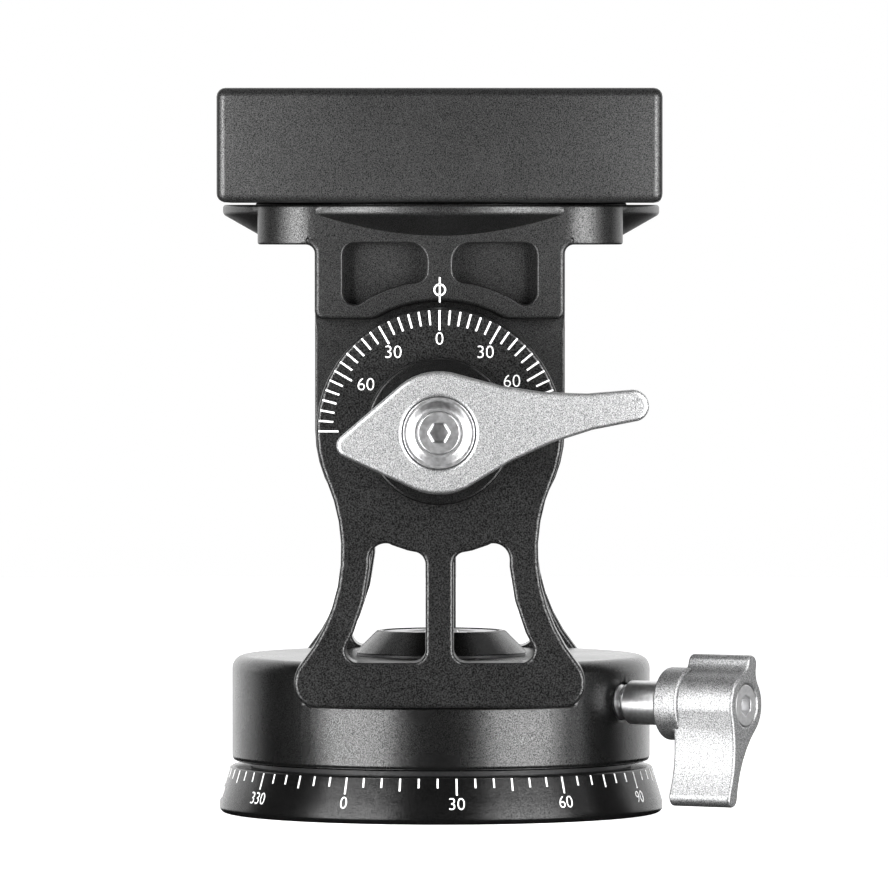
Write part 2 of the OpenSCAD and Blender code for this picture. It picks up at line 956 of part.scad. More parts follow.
function jaw_section() = [
  [jaw_y, clamp_z + pass_gap],
  [clamp_d / 2, clamp_z + pass_gap],
  [clamp_d / 2, clamp_top_z],
  [jaw_tip_y(), clamp_top_z],
  [jaw_tip_y(), bed_z + jaw_lip],
  [jaw_corner_y(), bed_z],
  [jaw_y, bed_z]
];

module clamp_plan() {
  translate([0, 0, clamp_z - cut])
    linear_extrude(clamp_h + 2 * cut)
      polygon(rounded([
        for (c = [[1, 1], [-1, 1], [-1, -1], [1, -1]])
          [c[0] * clamp_l / 2, c[1] * clamp_d / 2, clamp_corner]
      ]));
}

module at_guides() {
  both_ends_x(guide_x)
    translate([0, 0, screw_z])
      children();
}

module at_screw() {
  translate([0, 0, screw_z])
    children();
}

module clamp_body() {
  color(black)
    difference() {
      intersection() {
        side_bar(clamp_l)
          polygon(body_section());
        clamp_plan();
      }
      post(bolt_r + press_fit, clamp_z - cut, clamp_top_z);
      post(bolt_head_r + press_fit, bed_z - bolt_head_h - pass_gap, clamp_top_z);
      both_ends_x(dowel_x)
        post(dowel_r + press_fit, clamp_z - cut, clamp_z + dowel_depth + pass_gap);
      at_guides()
        y_rod(guide_r + press_fit, guide_tip_y - pass_gap, jaw_y + cut);
      at_screw()
        y_rod(screw_r + run_fit, spindle_tip_y - pass_gap, jaw_y + cut);
    }
}

module clamp_bolt() {
  head_low = bed_z - bolt_head_h - pass_gap;
  color(steel)
    difference() {
      union() {
        post(bolt_head_r, head_low, head_low + bolt_head_h);
        post(bolt_r, clamp_z - bolt_depth + pass_gap, head_low + bolt_head_h);
      }
      hex_post(bolt_head_r, head_low + bolt_head_h / 2, bed_z + cut);
    }
}

module clamp_dowels() {
  color(steel)
    both_ends_x(dowel_x)
      post(dowel_r, clamp_z - dowel_depth + pass_gap, clamp_z + dowel_depth);
}

module clamp_guide_pins() {
  color(steel)
    at_guides()
      y_rod(guide_r, guide_tip_y, clamp_d / 2 - guide_wall);
}

module clamp_jaw() {
  color(black)
    difference() {
      intersection() {
        side_bar(clamp_l)
          polygon(jaw_section());
        clamp_plan();
      }
      at_guides()
        y_rod(guide_r + run_fit, jaw_y - cut, clamp_d / 2 - guide_wall + pass_gap);
      at_screw()
        y_rod(screw_r + pass_gap, jaw_y - cut, clamp_d / 2 + cut);
    }
}

module clamp_washer() {
  color(steel)
    at_screw()
      y_tube(clamp_knob_r - 2 * knob_edge, screw_r + pass_gap, clamp_d / 2, clamp_d / 2 + washer_t);
}

module clamp_knob() {
  y_low = clamp_d / 2 + washer_t;
  y_high = y_low + clamp_knob_l;
  color(black)
    at_screw()
      difference() {
        translate([0, y_low, 0])
          rotate([-90, 0, 0])
            rotate_extrude()
              polygon([
                [screw_r + press_fit, 0],
                [clamp_knob_r - 2 * knob_edge, 0],
                [clamp_knob_r, 2 * knob_edge],
                [clamp_knob_r, clamp_knob_l - knob_edge],
                [clamp_knob_r - knob_edge, clamp_knob_l],
                [screw_r + press_fit, clamp_knob_l]
              ]);
        for (turn = [0:360 / knob_flutes:359])
          rotate([0, turn, 0])
            translate([clamp_knob_r + flute_r - flute_bite, 0, 0])
              y_rod(flute_r, y_low + 3 * knob_edge, y_high + cut);
      }
}

module clamp_spindle() {
  tip_y = clamp_d / 2 + washer_t + clamp_knob_l - knob_edge / 2;
  color(steel)
    at_screw()
      difference() {
        y_rod(screw_r, spindle_tip_y, tip_y);
        translate([0, tip_y - socket_depth, 0])
          rotate([-90, 0, 0])
            hex_post(screw_r, 0, socket_depth + cut);
      }
}

// Levers, drawn on the front and turned about the axle
module lever(angle) {
  at_tilt_axis()
    difference() {
      union() {
        rotate([0, -angle, 0])
          front_plate(-lever_face_y, -lever_y)
            polygon(lever_outline());
        y_rod(lever_hub_r, -lever_y - cut, -seat_y);
      }
      y_rod(axle_end_r + run_fit, -axle_tip_y - pass_gap, -seat_y + cut);
      y_rod(insert_r + press_fit, -lever_face_y - cut, -lever_face_y + insert_depth);
      y_rod(small_screw_r + press_fit, -lever_face_y, -axle_tip_y);
    }
}

module lever_insert() {
  back_y = -lever_face_y + insert_depth;
  color(steel)
    at_tilt_axis()
      translate([0, back_y, 0])
        rotate([90, 0, 0])
          rotate_extrude()
            polygon([
              [screw_head_r + press_fit, 0],
              [insert_r, 0],
              [insert_r, insert_depth],
              [insert_r - insert_wall + insert_bevel, insert_depth],
              [insert_r - insert_wall, insert_depth - insert_dish],
              [screw_head_r + press_fit, insert_depth - insert_dish]
            ]);
}

module lever_screw() {
  head_y = -lever_face_y + insert_depth;
  head_top_y = -lever_face_y + insert_dish / 2;
  color(steel)
    at_tilt_axis()
      difference() {
        union() {
          y_rod(screw_head_r, head_top_y, head_y);
          y_rod(small_screw_r, head_top_y, head_y + screw_len);
        }
        translate([0, head_top_y + socket_depth, 0])
          rotate([90, 0, 0])
            hex_post(small_socket, 0, socket_depth + cut);
      }
}

module front_lever() {
  color(silver)
    lever(front_lever_angle);
}

module front_lever_insert() {
  lever_insert();
}

module front_lever_screw() {
  lever_screw();
}

module rear_lever() {
  color(silver)
    at_rear()
      lever(rear_lever_angle);
}

module rear_lever_insert() {
  at_rear()
    lever_insert();
}

module rear_lever_screw() {
  at_rear()
    lever_screw();
}

// Pan knob, drawn along its own axis
module pan_knob() {
  color(silver)
    at_knob()
      difference() {
        union() {
          translate([0, 0, wing_in])
            rotate([0, 0, -wing_lean])
              linear_extrude(wing_l)
                polygon(wing_outline());
          post(knob_hub_r, hub_in, wing_in + cut);
        }
        post(stem_r + press_fit, hub_in - cut, stem_floor);
        post(small_screw_r + press_fit, hub_in, wing_out);
        post(screw_head_r + press_fit, knob_head_low, wing_out + cut);
      }
}

module pan_knob_stem() {
  stem_end = stem_floor - pass_gap;
  color(steel)
    at_knob()
      difference() {
        union() {
          post(stem_r, brake_out, stem_end);
          post(collar_r, collar_in, hub_in);
        }
        post(small_screw_r + press_fit, stem_end - screw_len / 2, stem_end + cut);
      }
}

module pan_knob_screw() {
  head_top = wing_out - pass_gap / 2;
  color(steel)
    at_knob()
      difference() {
        union() {
          post(screw_head_r, knob_head_low, head_top);
          post(small_screw_r, knob_head_low - screw_len / 2, head_top);
        }
        hex_post(small_socket, head_top - socket_depth, head_top + cut);
      }
}

module pan_brake_pad() {
  color(bronze)
    at_knob()
      post(stem_r, brake_in, brake_out);
}

base_ring();
pan_spindle();
tripod_bush();
spindle_screws();
lower_glide_ring();
upper_glide_ring();
pan_cap();
pan_cap_screw();
turntable();
front_upright();
rear_upright();
upright_screws();
tilt_axle();
front_friction_disc();
rear_friction_disc();
front_seat_ring();
rear_seat_ring();
tilt_bracket();
front_bush();
rear_bush();
clamp_body();
clamp_bolt();
clamp_dowels();
clamp_guide_pins();
clamp_jaw();
clamp_washer();
clamp_knob();
clamp_spindle();
front_lever();
front_lever_insert();
front_lever_screw();
rear_lever();
rear_lever_insert();
rear_lever_screw();
pan_knob();
pan_knob_stem();
pan_knob_screw();
pan_brake_pad();
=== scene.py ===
"""Looks of a two-way pan tilt head: finishes, rounded edges, printed scales, threads and studio."""

import json
import logging
import math
from collections.abc import Callable
from dataclasses import dataclass, field
from enum import Enum

import bmesh
import bpy
from mathutils import Matrix, Vector


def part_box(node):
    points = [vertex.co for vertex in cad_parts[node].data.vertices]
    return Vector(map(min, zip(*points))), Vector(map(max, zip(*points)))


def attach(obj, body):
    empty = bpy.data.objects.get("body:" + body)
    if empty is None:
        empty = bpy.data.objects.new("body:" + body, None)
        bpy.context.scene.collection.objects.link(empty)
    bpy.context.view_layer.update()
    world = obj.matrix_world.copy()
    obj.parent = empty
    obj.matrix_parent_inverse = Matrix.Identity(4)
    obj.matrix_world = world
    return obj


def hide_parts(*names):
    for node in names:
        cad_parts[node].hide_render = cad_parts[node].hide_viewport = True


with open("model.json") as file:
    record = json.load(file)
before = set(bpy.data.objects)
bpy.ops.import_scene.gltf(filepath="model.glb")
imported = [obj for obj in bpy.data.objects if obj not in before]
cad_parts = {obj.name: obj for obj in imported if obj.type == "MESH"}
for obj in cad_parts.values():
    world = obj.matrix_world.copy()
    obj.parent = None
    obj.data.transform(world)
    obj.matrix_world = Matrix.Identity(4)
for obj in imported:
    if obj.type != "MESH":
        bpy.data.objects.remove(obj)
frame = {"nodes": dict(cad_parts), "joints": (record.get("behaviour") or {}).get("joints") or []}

LOG = logging.getLogger("pan_tilt_head")
MM = 0.001
# Closer vertices are merged, faces that turn by less are one plane, and edges that turn by more
# are sharp.
SAME_PLACE = 0.0005 * MM
SAME_PLANE = math.radians(0.4)
SHARP_TURN = math.radians(24)
# How far a large face outweighs its small neighbours in the shading.
FACE_WEIGHT = 80
# The pattern is turned and shifted, so that no flat face lies in a plane where the grain fades out.
GRAIN_TURN = 0.5
GRAIN_SHIFT = Vector((0.05, 0.05, 0.05)) * MM
# Nearly all of a noise lies between these greys.
NOISE_LOW = 0.32
NOISE_HIGH = 0.68
# A Wave texture of scale 1 repeats after this length.
WAVE_LENGTH = math.tau / 20
# Turns a flat shape upright, so that its top looks towards -Y.
STANDING = Matrix.Rotation(math.radians(90), 4, "X")
Colour = tuple[float, float, float]


class Slot(Enum):
    """Material slots of the record that the new pieces take their finish from."""

    BLACK = "black_anodised"
    SILVER = "blasted_aluminium"
    STEEL = "steel"


class Spin(Enum):
    """Direction of the axis that turning marks run round."""

    X = "X"
    Y = "Y"
    Z = "Z"


class EdgeChoice(Enum):
    """How the edges that get a rounding are chosen."""

    TURN = "ANGLE"
    SHARE = "WEIGHT"


def grey(value: float) -> Colour:
    """A colour without hue."""
    return (value, value, value)


def joint(name: str) -> tuple[Vector, Vector]:
    """Looks up a joint of the frame.

    Args:
        name: The joint's name in the record.

    Returns:
        A point on its axis and the axis, in metres.
    """
    found = next(j for j in frame["joints"] if j["name"] == name)
    return Vector(found.get("pos_m", (0, 0, 0))), Vector(found["axis"]).normalized()


class NodeSheet:
    """A new material and short calls to fill its node tree."""

    def __init__(self, name: str) -> None:
        """Starts a material with one Principled shader.

        Args:
            name: The material's name.
        """
        self.material = bpy.data.materials.new(name)
        self.material.use_nodes = True
        self.tree = self.material.node_tree
        self.shader = self.tree.nodes["Principled BSDF"]

    def node(self, kind: str, **values: object) -> bpy.types.Node:
        """Adds a node.

        Args:
            kind: The node's type, without its ShaderNode prefix.
            values: Input sockets by name, with _ for a space, or properties of the node.

        Returns:
            The node.
        """
        made = self.tree.nodes.new("ShaderNode" + kind)
        for key, value in values.items():
            socket = made.inputs.get(key.replace("_", " "))
            if socket is None:
                setattr(made, key, value)
            else:
                socket.default_value = value
        return made

    def link(self, source: bpy.types.NodeSocket, target: bpy.types.NodeSocket) -> None:
        """Joins two sockets."""
        self.tree.links.new(source, target)

    def surface(self, **values: object) -> None:
        """Sets constants on the shader's own sockets, with _ for a space in a name."""
        for key, value in values.items():
            self.shader.inputs[key.replace("_", " ")].default_value = value

    def coordinates(self, centre: Vector, turn: float) -> bpy.types.NodeSocket:
        """Object coordinates seen from a point on the piece.

        Args:
            centre: The point that becomes the pattern's middle, in metres.
            turn: Turn of the pattern about Z, in radians.

        Returns:
            The vector socket.
        """
        place = self.node("TexCoord")
        shift = self.node("Mapping", vector_type="TEXTURE", Location=centre, Rotation=(0, 0, turn))
        self.link(place.outputs["Object"], shift.inputs["Vector"])
        return shift.outputs["Vector"]

    def noise(
        self, where: bpy.types.NodeSocket, size: float, detail: float
    ) -> bpy.types.NodeSocket:
        """A noise pattern.

        Args:
            where: The coordinates that it reads.
            size: The size of its grains, in metres.
            detail: How many finer layers it has.

        Returns:
            Its grey value.
        """
        grains = self.node("TexNoise", Scale=1 / size, Detail=detail)
        self.link(where, grains.inputs["Vector"])
        return grains.outputs[0]

    def spread(self, value: bpy.types.NodeSocket, low: float, high: float, socket: str) -> None:
        """Maps a grey value to one of the shader's sockets.

        Args:
            value: The grey value, around the middle of 0 to 1.
            low: What the low end becomes.
            high: What the high end becomes.
            socket: The socket's name.
        """
        limits = self.node(
            "MapRange", From_Min=NOISE_LOW, From_Max=NOISE_HIGH, To_Min=low, To_Max=high
        )
        self.link(value, limits.inputs["Value"])
        self.link(limits.outputs["Result"], self.shader.inputs[socket])

    def tint(self, value: bpy.types.NodeSocket, stops: list[tuple[float, Colour]]) -> None:
        """Maps a grey value to the base colour.

        Args:
            value: The grey value.
            stops: Positions from 0 to 1, each with its colour.
        """
        ramp = self.node("ValToRGB")
        bands = ramp.color_ramp.elements
        while len(bands) < len(stops):
            bands.new(0.5)
        for band, (position, colour) in zip(bands, stops):
            band.position = position
            band.color = (*colour, 1)
        self.link(value, ramp.inputs["Fac"])
        self.link(ramp.outputs["Color"], self.shader.inputs["Base Color"])

    def relief(self, heights: list[tuple[bpy.types.NodeSocket, float, float]]) -> None:
        """Bumps the surface by one or more height patterns.

        Args:
            heights: Each pattern with its strength and its depth in metres.
        """
        below = None
        for value, strength, depth in heights:
            bump = self.node("Bump", Strength=strength, Distance=depth)
            self.link(value, bump.inputs["Height"])
            if below is not None:
                self.link(below, bump.inputs["Normal"])
            below = bump.outputs["Normal"]
        self.link(below, self.shader.inputs["Normal"])


@dataclass(frozen=True)
class BlackAnodised:
    """Blasted aluminium, anodised black."""

    name: str
    shade: Colour
    fleck: Colour
    grain: float
    depth: float
    smooth: float = 0.23
    rough: float = 0.27
    shine: float = 0.5
    shine_swing: float = 0.75
    cloud: float = 9 * MM
    dark_at: float = 0.36
    fleck_at: float = 0.66
    relief: float = 0.5

    def material(self) -> bpy.types.Material:
        """Builds the finish.

        Returns:
            The material.
        """
        sheet = NodeSheet(self.name)
        where = sheet.coordinates(GRAIN_SHIFT, GRAIN_TURN)
        grains = sheet.noise(where, self.grain, detail=1)
        clouds = sheet.noise(where, self.cloud, detail=3)
        dull = (1 - self.shine_swing) * self.shine
        bright = (1 + self.shine_swing) * self.shine
        sheet.tint(grains, [(self.dark_at, self.shade), (self.fleck_at, self.fleck)])
        sheet.spread(clouds, self.smooth, self.rough, "Roughness")
        sheet.surface(Specular_IOR_Level=self.shine)
        sheet.spread(grains, dull, bright, "Specular IOR Level")
        sheet.relief([(grains, self.relief, self.depth)])
        return sheet.material


@dataclass(frozen=True)
class BlastedAluminium:
    """Bead-blasted bare aluminium."""

    name: str = "blasted_aluminium"
    low: Colour = (0.17, 0.172, 0.175)
    high: Colour = (0.74, 0.742, 0.745)
    smooth: float = 0.44
    rough: float = 0.5
    grain: float = 0.13 * MM
    depth: float = 0.012 * MM
    low_at: float = 0.34
    high_at: float = 0.66
    relief: float = 0.6

    def material(self) -> bpy.types.Material:
        """Builds the finish.

        Returns:
            The material.
        """
        sheet = NodeSheet(self.name)
        where = sheet.coordinates(GRAIN_SHIFT, GRAIN_TURN)
        grains = sheet.noise(where, self.grain, detail=2)
        sheet.surface(Metallic=1.0)
        sheet.tint(grains, [(self.low_at, self.low), (self.high_at, self.high)])
        sheet.spread(grains, self.smooth, self.rough, "Roughness")
        sheet.relief([(grains, self.relief, self.depth)])
        return sheet.material


@dataclass(frozen=True)
class TurnedSteel:
    """Bright steel with fine turning rings round an axis."""

    name: str
    centre: Vector
    axis: Spin
    turn: float = 0.0
    spacing: float = 0.16 * MM
    waver: float = 0.6
    depth: float = 0.004 * MM
    relief: float = 0.25
    streak: float = 0.5 * MM
    shade: Colour = (0.56, 0.56, 0.565)
    light: Colour = (0.68, 0.68, 0.685)
    shade_at: float = 0.35
    light_at: float = 0.65
    smooth: float = 0.36
    rough: float = 0.42

    def material(self) -> bpy.types.Material:
        """Builds the finish.

        Returns:
            The material.
        """
        sheet = NodeSheet(self.name)
        where = sheet.coordinates(self.centre, self.turn)
        rings = sheet.node(
            "TexWave", wave_type="RINGS", rings_direction=self.axis.value,
            Scale=WAVE_LENGTH / self.spacing, Distortion=self.waver,
        )
        sheet.link(where, rings.inputs["Vector"])
        streaks = sheet.noise(where, self.streak, detail=3)
        sheet.surface(Metallic=1.0)
        sheet.tint(streaks, [(self.shade_at, self.shade), (self.light_at, self.light)])
        sheet.spread(streaks, self.smooth, self.rough, "Roughness")
        sheet.relief([(rings.outputs["Fac"], self.relief, self.depth)])
        return sheet.material


@dataclass(frozen=True)
class PlainGrain:
    """A moulded, sintered or painted surface with a fine grain."""

    name: str
    low: Colour
    high: Colour
    grain: float
    metallic: float
    smooth: float
    rough: float
    low_at: float = 0.35
    high_at: float = 0.65
    depth: float = 0.01 * MM
    relief: float = 0.3

    def material(self) -> bpy.types.Material:
        """Builds the finish.

        Returns:
            The material.
        """
        sheet = NodeSheet(self.name)
        where = sheet.coordinates(GRAIN_SHIFT, GRAIN_TURN)
        grains = sheet.noise(where, self.grain, detail=3)
        sheet.surface(Metallic=self.metallic)
        sheet.tint(grains, [(self.low_at, self.low), (self.high_at, self.high)])
        sheet.spread(grains, self.smooth, self.rough, "Roughness")
        sheet.relief([(grains, self.relief, self.depth)])
        return sheet.material


def round_edges(part: bpy.types.Object, width: float, segments: int, choice: EdgeChoice) -> None:
    """Adds rounded edges and even shading to a part as modifiers.

    Args:
        part: The part's object.
        width: The rounding's width, in metres.
        segments: Facets across the rounding.
        choice: How the edges are chosen.
    """
    edges = part.modifiers.new("edges", "BEVEL")
    edges.width = width
    edges.segments = segments
    edges.limit_method = choice.value
    edges.angle_limit = SHARP_TURN
    edges.profile = 0.5
    edges.material = -1
    edges.use_clamp_overlap = False
    edges.miter_outer = "MITER_ARC"
    shading = part.modifiers.new("shading", "WEIGHTED_NORMAL")
    shading.keep_sharp = True
    shading.weight = FACE_WEIGHT


@dataclass(frozen=True)
class EdgeFinish:
    """Rounding of the sharp edges of a machined part."""

    width: float
    segments: int = 3

    def apply(self, part: bpy.types.Object) -> None:
        """Adds the rounding to a part as modifiers.

        Args:
            part: The part's object.
        """
        weld = part.modifiers.new("merge", "WELD")
        weld.merge_threshold = SAME_PLACE
        planes = part.modifiers.new("planes", "DECIMATE")
        planes.decimate_type = "DISSOLVE"
        planes.angle_limit = SAME_PLANE
        round_edges(part, self.width, self.segments, choice=EdgeChoice.TURN)


def new_piece(
    name: str, shape: bmesh.types.BMesh, body: str, finish: bpy.types.Material
) -> bpy.types.Object:
    """Makes an object of a finished bmesh and lets it ride on a body.

    Args:
        name: The piece's name.
        shape: Its shape in the frame's metres, freed here.
        body: The body that carries it.
        finish: Its material.

    Returns:
        The object.
    """
    mesh = bpy.data.meshes.new(name)
    bmesh.ops.recalc_face_normals(shape, faces=shape.faces)
    shape.to_mesh(mesh)
    shape.free()
    mesh.materials.append(finish)
    piece = bpy.data.objects.new(name, mesh)
    bpy.context.scene.collection.objects.link(piece)
    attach(piece, body)
    LOG.info("piece %s: %d faces on %s", name, len(mesh.polygons), body)
    return piece


def rounded_copy(
    node: str, body: str, finish: bpy.types.Material, width: float,
    stop: float = 0.0, share: Callable[[Vector], float] = lambda middle: 1.0,
) -> None:
    """Replaces a CAD part by a copy whose outer edges are rounded, each by its own width.

    Args:
        node: The part's name.
        body: The body that carries it.
        finish: Its material.
        width: The widest rounding, in metres.
        stop: Height at which edges are split, so that a rounding can end there, in metres.
        share: Gives the share of that width for an edge, from the middle of the edge.
    """
    shape = bmesh.new()
    shape.from_mesh(frame["nodes"][node].data)
    bmesh.ops.remove_doubles(shape, verts=shape.verts, dist=SAME_PLACE)
    bmesh.ops.dissolve_limit(
        shape, angle_limit=SAME_PLANE, use_dissolve_boundaries=False, verts=shape.verts,
        edges=shape.edges,
    )
    for edge in [e for e in shape.edges if e.calc_face_angle_signed(0) > SHARP_TURN]:
        low, high = sorted(edge.verts, key=lambda v: v.co.z)
        if low.co.z < stop < high.co.z:
            bmesh.utils.edge_split(edge, low, (stop - low.co.z) / (high.co.z - low.co.z))
    weight = shape.edges.layers.float.new("bevel_weight_edge")
    for face in shape.faces:
        face.smooth = True
    for edge in shape.edges:
        turn = edge.calc_face_angle_signed(0)
        edge.smooth = turn > -SHARP_TURN
        if turn > SHARP_TURN:
            edge[weight] = share((edge.verts[0].co + edge.verts[1].co) / 2)
    piece = new_piece(f"{node}_rounded", shape, body, finish)
    round_edges(piece, width, segments=4, choice=EdgeChoice.SHARE)
    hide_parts(node)


def add_bar(shape: bmesh.types.BMesh, size: Vector, place: Matrix) -> None:
    """Adds a flat bar to a shape.

    Args:
        shape: The bmesh that takes it.
        size: Its size along its own X, Y and Z, in metres.
        place: Its place in the frame.
    """
    scale = Matrix.Diagonal((*size, 1))
    bmesh.ops.create_cube(shape, size=1, matrix=place @ scale)


def add_number(
    shape: bmesh.types.BMesh, words: str, height: float, relief: float
) -> list[bmesh.types.BMVert]:
    """Adds a number, upright in XZ and centred on the origin, its face towards -Y.

    Args:
        shape: The bmesh that takes it.
        words: The digits.
        height: Their height in metres.
        relief: How far they stand out, in metres.

    Returns:
        The new vertices.
    """
    curve = bpy.data.curves.new("number", "FONT")
    curve.body = words
    curve.extrude = relief / 2
    thinner = -0.012
    curve.offset = thinner
    curve.resolution_u = 4
    holder = bpy.data.objects.new("number", curve)
    bpy.context.scene.collection.objects.link(holder)
    bpy.context.view_layer.update()
    shown = holder.evaluated_get(bpy.context.evaluated_depsgraph_get())
    flat = bpy.data.meshes.new_from_object(shown)
    bpy.data.objects.remove(holder)
    bpy.data.curves.remove(curve)
    known = set(shape.verts)
    shape.from_mesh(flat)
    bpy.data.meshes.remove(flat)
    fresh = [v for v in shape.verts if v not in known]
    low = Vector([min(v.co[i] for v in fresh) for i in range(3)])
    high = Vector([max(v.co[i] for v in fresh) for i in range(3)])
    middle = (low + high) / 2
    grow = height / (high.y - low.y)
    size = Matrix.Diagonal((grow, grow, 1, 1))
    bmesh.ops.transform(shape, matrix=STANDING @ size @ Matrix.Translation(-middle), verts=fresh)
    return fresh


def add_ring(shape: bmesh.types.BMesh, profile: list[tuple[float, float]], steps: int) -> None:
    """Adds a closed profile turned about the Z axis.

    Args:
        shape: The bmesh that takes it.
        profile: Corners of the profile as radius and height, in metres.
        steps: Facets round the circle.
    """
    corners = [shape.verts.new((r, 0, z)) for r, z in profile]
    sides = [shape.edges.new((a, b)) for a, b in zip(corners, corners[1:] + corners[:1])]
    bmesh.ops.spin(
        shape, geom=corners + sides, cent=(0, 0, 0), axis=(0, 0, 1), angle=math.tau, steps=steps,
        use_merge=True,
    )
    bmesh.ops.remove_doubles(shape, verts=shape.verts, dist=SAME_PLACE)


def add_thread(
    shape: bmesh.types.BMesh, root: float, crest: float, pitch: float, low: float, high: float
) -> None:
    """Adds a closed thread ridge that climbs about the Z axis.

    Args:
        shape: The bmesh that takes it.
        root: Radius where the ridge starts, in metres.
        crest: Radius of its sharp edge, in metres.
        pitch: Climb of one turn, in metres.
        low: Height at which it starts, in metres.
        high: Height at which it ends, in metres.
    """
    facets = 32
    turns = (high - low) / pitch
    flank = 0.46 * pitch
    tip = 0.06 * pitch
    corners = [
        shape.verts.new((r, 0, low + z))
        for r, z in ((root, -flank), (crest, -tip), (crest, tip), (root, flank))
    ]
    face = shape.faces.new(corners)
    count = round(facets * turns)
    climb = Vector((0, 0, (high - low) / count))
    bmesh.ops.spin(
        shape, geom=[face, *face.edges, *corners], cent=(0, 0, 0), axis=(0, 0, 1), dvec=climb,
        angle=math.tau * turns, steps=count,
    )
    open_edges = [e for e in shape.edges if e.is_boundary]
    bmesh.ops.holes_fill(shape, edges=open_edges, sides=4)


class Finishes:
    """The materials of this head, each built once."""

    def __init__(self) -> None:
        """Builds every finish."""
        tilt_point, _ = joint("tilt")
        knob_point, knob_axis = joint("pan_knob_turn")
        clamp_point, _ = joint("clamp_knob_turn")
        self.black = BlackAnodised(
            "black_anodised", grey(0.001), grey(0.004), grain=0.12 * MM, depth=0.02 * MM,
            smooth=0.26, rough=0.3,
        ).material()
        self.bracket = BlackAnodised(
            "black_milled", grey(0.001), grey(0.005), grain=0.12 * MM, depth=0.02 * MM,
            smooth=0.4, rough=0.44,
        ).material()
        self.scale = BlackAnodised(
            "black_scale", grey(0.001), grey(0.004), grain=0.12 * MM, depth=0.02 * MM, shine=0.25
        ).material()
        self.blasted = BlackAnodised(
            "black_blasted", grey(0.002), grey(0.012), grain=0.2 * MM, depth=0.03 * MM,
            smooth=0.3, rough=0.34,
        ).material()
        self.satin = BlackAnodised(
            "black_satin", grey(0.002), grey(0.01), grain=0.12 * MM, depth=0.02 * MM,
            smooth=0.42, rough=0.46,
        ).material()
        self.silver = BlastedAluminium().material()
        # Darker copy of the blasted aluminium for the pan knob: painted shade that tones down the
        # strong reflection of the nearby right softbox on the knob.
        self.knob_silver = BlastedAluminium(
            "blasted_knob_painted_shade", (0.1, 0.101, 0.103), (0.56, 0.562, 0.565), smooth=0.5, rough=0.56
        ).material()
        self.pan_steel = TurnedSteel("steel_round_pan", Vector(), Spin.Z).material()
        self.tilt_steel = TurnedSteel(
            "steel_round_tilt", tilt_point, Spin.Y,
            shade=(0.4, 0.4, 0.405), light=(0.52, 0.52, 0.525),
        ).material()
        self.clamp_steel = TurnedSteel("steel_round_clamp", clamp_point, Spin.Y).material()
        self.knob_steel = TurnedSteel(
            "steel_round_knob", knob_point, Spin.X, math.atan2(knob_axis.y, knob_axis.x)
        ).material()
        self.polymer = PlainGrain(
            "glide_polymer", (0.02, 0.02, 0.021), (0.035, 0.035, 0.036), grain=0.4 * MM,
            metallic=0.0, smooth=0.4, rough=0.55,
        ).material()
        self.bronze = PlainGrain(
            "sintered_bronze", (0.36, 0.22, 0.09), (0.55, 0.37, 0.17), grain=0.25 * MM,
            metallic=1.0, smooth=0.3, rough=0.45,
        ).material()
        self.white = PlainGrain(
            "white_scale_paint", grey(0.8), grey(0.9), grain=0.2 * MM,
            metallic=0.0, smooth=0.45, rough=0.6,
        ).material()


def dress(node: str, finish: bpy.types.Material, edge: EdgeFinish | None = None) -> None:
    """Gives a CAD part its finish and its rounded edges.

    Args:
        node: The part's name.
        finish: Its material.
        edge: The rounding of its edges, or None to leave them.
    """
    part = frame["nodes"][node]
    part.data.materials.clear()
    part.data.materials.append(finish)
    if edge is not None:
        edge.apply(part)
    LOG.info("part %s: %s", node, finish.name)


